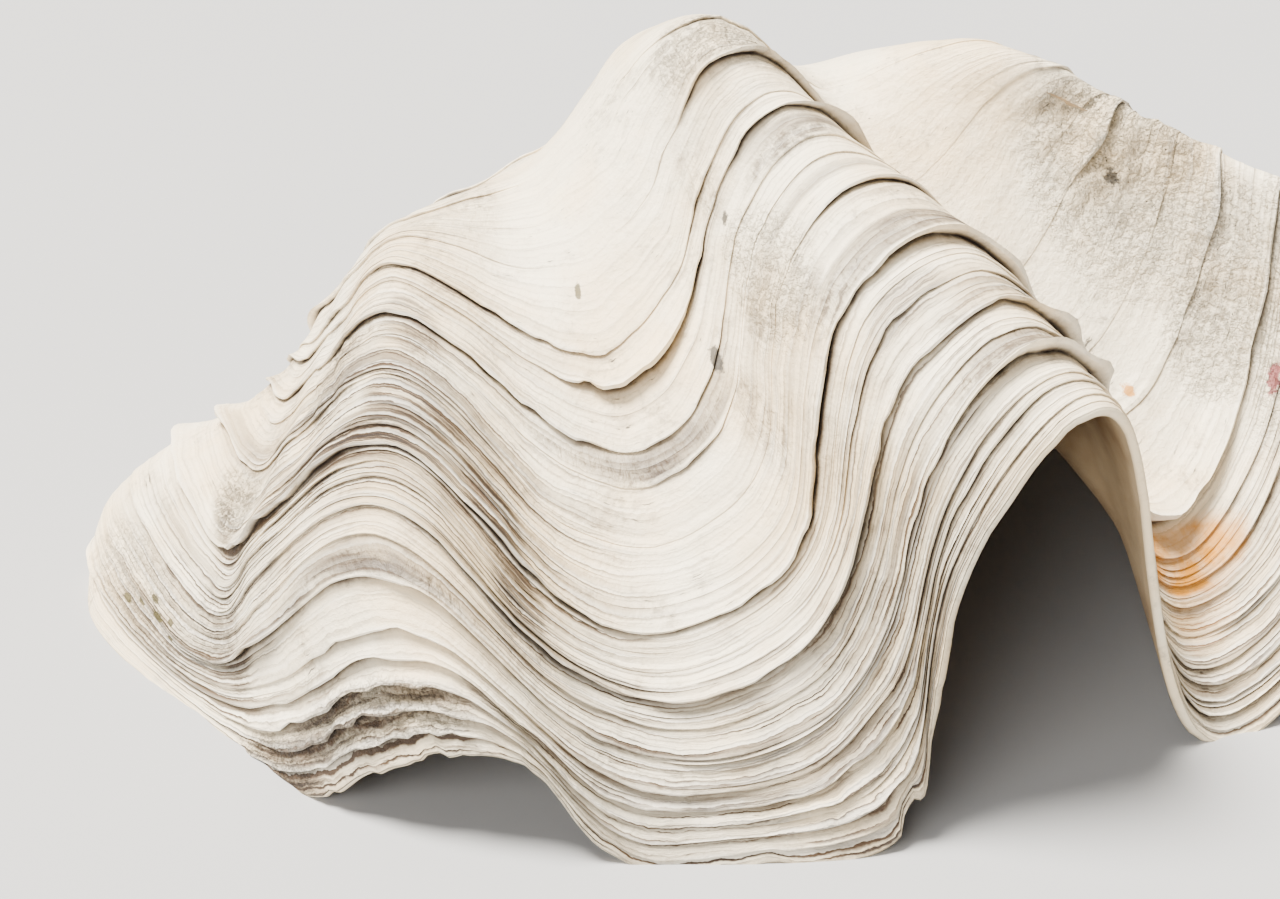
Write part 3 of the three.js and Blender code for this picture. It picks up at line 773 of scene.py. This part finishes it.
def chalk_colour(nodes, settings, p):
    """The chalky ground with its mottle, grey bands and broad growth lines."""
    colour = nodes.mix(nodes.range(p.clouds, 0.42, 0.62), rgba(settings.shell_colour),
                       rgba(settings.cream_colour))
    mottle = nodes.times(nodes.range(p.patches, 0.52, 0.68), nodes.range(p.crumbs, 0.42, 0.58, 0.0, 0.6))
    colour = nodes.paint(colour, nodes.times(mottle, 0.8), settings.band_colour)
    clots = nodes.times(p.grey, nodes.range(p.streaks, 0.42, 0.54, 0.1, 0.9))
    clots = nodes.times(clots, nodes.range(p.crumbs, 0.38, 0.52, 0.4, 1.0))
    band = nodes.times(nodes.attribute("band"), nodes.range(p.streaks, 0.36, 0.54, 0.6, 1.0))
    colour = nodes.paint(colour, nodes.math("MAXIMUM", clots, band), settings.band_colour)
    broad = nodes.times(nodes.range(p.medium, 0.48, 0.62), nodes.range(p.clouds, 0.4, 0.6, 0.35, 1.0))
    colour = nodes.paint(colour, nodes.times(broad, nodes.times(p.lines, 0.5)), settings.shade_colour)
    thin = nodes.times(nodes.range(p.fine, 0.52, 0.64), nodes.range(p.patches, 0.35, 0.6, 0.3, 1.0))
    colour = nodes.paint(colour, nodes.times(thin, nodes.times(p.lines, 0.6)), settings.shade_colour)
    tones = nodes.times(nodes.times(p.tone, p.small_tone), nodes.times(p.lines, 0.8))
    return nodes.paint(colour, tones, settings.shade_colour)


def line_colour(nodes, settings, p, colour):
    """Thin growth lines that are partly painted shade at the foot of each bump step, with specks, pores and
    painted shade in the pits, over the chalk.
    """
    # Tan growth lines laid at the foot of each bump step, where its shadow falls: partly real colour, partly
    # painted shade; the strongest are deepened to near-black.
    groove = nodes.times(nodes.range(p.rise, 0.05, 0.16, 1.0, 0.0), p.strong)
    slit = nodes.times(nodes.range(p.small_rise, 0.05, 0.34, 1.0, 0.0), p.weak)
    slit = nodes.times(slit, nodes.range(p.patches, 0.38, 0.55, 0.3, 1.0))
    groove = nodes.times(nodes.math("MAXIMUM", groove, slit), p.lines, clamp=True)
    colour = nodes.paint(colour, groove, settings.line_colour)
    deepest = nodes.times(nodes.range(groove, 0.6, 1.0), nodes.range(p.streaks, 0.42, 0.54, 0.0, 0.8))
    colour = nodes.paint(colour, deepest, settings.tangle_and_shade_colour)
    specks = nodes.times(nodes.range(p.dashes, 0.66, 0.72), nodes.range(p.patches, 0.46, 0.58))
    colour = nodes.paint(colour, nodes.times(specks, 0.9), settings.speck_colour)
    pitted = nodes.plus(nodes.times(p.crust, 0.2), nodes.times(p.grey, 0.6))
    pores = nodes.times(nodes.range(p.crumbs, 0.57, 0.64), nodes.plus(pitted, 0.1, clamp=True))
    colour = nodes.paint(colour, pores, settings.shade_colour)
    # Painted shade in the pits.
    return nodes.paint(colour, p.pits, settings.speck_colour)


def ledge_colour(nodes, settings, p, colour):
    """Ochre tangles, painted highlight on the lips and step tops, painted shade under the ledges, and the
    stain.
    """
    ochre = nodes.attribute("ochre")
    tan = nodes.times(ochre, nodes.range(p.fine, 0.40, 0.51, 0.25, 1.0))
    colour = nodes.paint(colour, tan, settings.line_colour)
    tangle = nodes.times(ochre, nodes.range(p.fine, 0.51, 0.56))
    colour = nodes.paint(colour, tangle, settings.tangle_and_shade_colour)
    # Painted highlight on the lips and on the top of each bump step.
    step_top_highlight = nodes.times(nodes.range(p.rise, 0.72, 0.95), nodes.times(p.strong, p.lines), clamp=True)
    edge = nodes.times(nodes.attribute("edge"), nodes.range(p.streaks, 0.40, 0.55, 0.1, 0.8))
    edge = nodes.math("MAXIMUM", edge, nodes.times(step_top_highlight, 0.6))
    colour = nodes.paint(colour, edge, settings.lip_highlight_colour)
    # Painted shade under the ledges: tan at first, near-black where it is deepest.
    ledge_shade = nodes.attribute("ledge_shade")
    under_ledge_shade = nodes.times(ledge_shade, nodes.range(p.patches, 0.35, 0.6, 0.4, 1.0))
    colour = nodes.paint(colour, under_ledge_shade, settings.line_colour)
    deep = nodes.times(nodes.range(ledge_shade, 0.5, 0.9), nodes.range(p.patches, 0.3, 0.6, 0.4, 1.0))
    colour = nodes.paint(colour, deep, settings.tangle_and_shade_colour)
    stain = nodes.times(nodes.range(nodes.attribute("stain"), 0.05, 0.6),
                        nodes.range(p.patches, 0.40, 0.56, 0.6, 1.0))
    return nodes.paint(colour, stain, settings.stain_colour)


def spot_colour(nodes, settings, p, colour):
    """The single round spots, each with a crumbly edge."""
    for across, age, radius, name in SPOTS:
        offset = nodes.add("VectorMath", {0: p.growth, 1: (across, age, 0)}, operation="SUBTRACT").outputs[0]
        offset = nodes.scaled(offset, (1 / radius, SPOT_AGE_SCALE / radius, 0))
        wobble = nodes.times(nodes.math("SUBTRACT", p.crumbs, 0.5), 2.2)
        away = nodes.add("VectorMath", {0: offset}, operation="LENGTH").outputs["Value"]
        spot = nodes.range(nodes.plus(away, wobble), 0.75, 1.1, 0.9, 0.0)
        colour = nodes.paint(colour, spot, getattr(settings, name))
    return colour


def shell_relief(nodes, p):
    """Height of the growth steps, wrinkles, crust and grain, for the bump."""
    steps = nodes.times(nodes.times(p.rise, p.rise), nodes.times(p.strong, 0.4))
    steps = nodes.plus(steps, nodes.times(nodes.times(p.small_rise, p.weak), 0.15))
    height = nodes.plus(nodes.times(p.fine, 0.35), nodes.times(p.medium, 0.35))
    height = nodes.times(nodes.plus(height, steps), nodes.plus(p.lines, 0.12))
    height = nodes.plus(height, nodes.times(p.wrinkles, nodes.times(p.grey, 0.8)))
    flakes = nodes.times(nodes.range(p.crumbs, 0.47, 0.54), nodes.times(p.crust, 0.5))
    crusty = nodes.times(p.crumbs, nodes.plus(nodes.times(p.crust, 1.3), 0.3))
    height = nodes.plus(height, nodes.plus(flakes, crusty))
    height = nodes.math("SUBTRACT", height, nodes.times(p.pits, 0.25))
    height = nodes.times(height, p.outside)
    return nodes.plus(height, nodes.times(p.grain, 0.05))


def shell_material(settings):
    """Chalky shell lime outside, and a hollow side whose dark brown is painted shade."""
    material = bpy.data.materials.new("shell_lime")
    nodes = Nodes(material)
    p = shell_pattern(nodes)
    colour = chalk_colour(nodes, settings, p)
    colour = line_colour(nodes, settings, p, colour)
    colour = ledge_colour(nodes, settings, p, colour)
    colour = spot_colour(nodes, settings, p, colour)
    # Painted shade: the hollow side is dark brown with up to 45% cream mixed in.
    shaded_lining = nodes.mix(nodes.range(p.clouds, 0.35, 0.7, 0.0, 0.45), rgba(settings.shaded_inside_colour),
                       rgba(settings.cream_colour))
    nodes.put(nodes.shader.inputs["Base Color"], nodes.mix(p.inside, colour, shaded_lining))

    rough = nodes.range(p.patches, 0.3, 0.7, 0.42, 0.66)
    rough = nodes.math("SUBTRACT", rough, nodes.times(p.inside, 0.14))
    nodes.put(nodes.shader.inputs["Roughness"], rough)
    nodes.shader.inputs["Specular IOR Level"].default_value = 0.4
    bump = nodes.add("Bump", {"Height": shell_relief(nodes, p), "Strength": 1.0, "Distance": BUMP_DEPTH})
    nodes.put(nodes.shader.inputs["Normal"], bump.outputs[0])
    return material


def floor_material(settings):
    """Plain pale paper."""
    material = bpy.data.materials.new("floor_paper")
    nodes = Nodes(material)
    place = nodes.add("TexCoord").outputs["Object"]
    tone = nodes.noise(place, 3.0, 3.0, 0.5)
    pale = rgba(settings.floor_colour)
    dim = (*(c * 0.95 for c in settings.floor_colour), 1.0)
    nodes.put(nodes.shader.inputs["Base Color"], nodes.mix(tone, pale, dim))
    nodes.shader.inputs["Roughness"].default_value = 0.8
    return material


def add_object(name, data):
    """A new object in the scene."""
    obj = bpy.data.objects.new(name, data)
    bpy.context.scene.collection.objects.link(obj)
    return obj


class SHELL_OT_valve(bpy.types.Operator):
    """Build the valve with its ledges, margin, hollow side and hinge edge"""
    bl_idname = "shell.valve"
    bl_label = "Build Valve"

    def execute(self, context):
        settings = context.scene.shell_settings
        points, marks = shell_points(settings)
        mesh = bpy.data.meshes.new("valve_skin")
        fill_shell_mesh(mesh, points, marks)
        if not mesh.polygons:
            raise RuntimeError("the valve has no faces")
        valve = add_object("valve_skin", mesh)
        mesh.materials.append(shell_material(settings))
        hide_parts("valve")
        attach(valve, "root")
        return {"FINISHED"}


def add_wide_light(name, direction, width, colour, strength):
    """A distant soft light that shines from a direction and is as wide as an angle."""
    light = bpy.data.lights.new(name, "SUN")
    light.angle = math.radians(width)
    light.energy = strength
    light.color = colour
    obj = add_object(name, light)
    obj.rotation_euler = Vector(direction).to_track_quat("Z", "Y").to_euler()
    return obj


class SHELL_OT_stage(bpy.types.Operator):
    """Add the floor, the soft lights and the camera"""
    bl_idname = "shell.stage"
    bl_label = "Build Stage"

    def execute(self, context):
        settings = context.scene.stage_settings
        mesh = bpy.data.meshes.new("floor")
        bm = bmesh.new()
        bmesh.ops.create_grid(bm, x_segments=1, y_segments=1, size=FLOOR_HALF)
        bm.to_mesh(mesh)
        bm.free()
        floor = add_object("floor", mesh)
        mesh.materials.append(floor_material(settings))

        add_wide_light("key", *KEY_LIGHT, settings.key_strength)
        add_wide_light("fill", *FILL_LIGHT, settings.fill_strength)
        world = bpy.data.worlds.new("studio")
        world.use_nodes = True
        background = world.node_tree.nodes["Background"]
        background.inputs["Color"].default_value = SKY_COLOUR
        background.inputs["Strength"].default_value = settings.sky_strength
        context.scene.world = world

        camera_data = bpy.data.cameras.new("camera")
        camera_data.sensor_width = SENSOR_WIDTH
        camera_data.lens = FOCAL_PIXELS / IMAGE_WIDTH * SENSOR_WIDTH
        camera = add_object("camera", camera_data)
        camera.location = (Vector(CAMERA_PLACE) - Vector((*MIDDLE, WORN_DEPTH))) * MM
        camera.rotation_euler = (math.radians(90) - CAMERA_ELEVATION, 0, 0)
        context.scene.camera = camera
        return {"FINISHED"}


class SHELL_PT_panel(bpy.types.Panel):
    """Shell settings in the 3D view's sidebar"""
    bl_label = "Giant Clam Shell"
    bl_space_type = "VIEW_3D"
    bl_region_type = "UI"
    bl_category = "Shell"

    def draw(self, context):
        for group in (context.scene.shell_settings, context.scene.stage_settings):
            for name in group.__annotations__:
                self.layout.prop(group, name)
        self.layout.operator(SHELL_OT_valve.bl_idname)
        self.layout.operator(SHELL_OT_stage.bl_idname)


CLASSES = (ShellSettings, StageSettings, SHELL_OT_valve, SHELL_OT_stage, SHELL_PT_panel)


def register():
    for cls in CLASSES:
        bpy.utils.register_class(cls)
    bpy.types.Scene.shell_settings = PointerProperty(type=ShellSettings)
    bpy.types.Scene.stage_settings = PointerProperty(type=StageSettings)


def unregister():
    del bpy.types.Scene.stage_settings
    del bpy.types.Scene.shell_settings
    for cls in reversed(CLASSES):
        bpy.utils.unregister_class(cls)


def main():
    register()
    bpy.ops.shell.valve()
    bpy.ops.shell.stage()


if __name__ == "__main__":
    main()
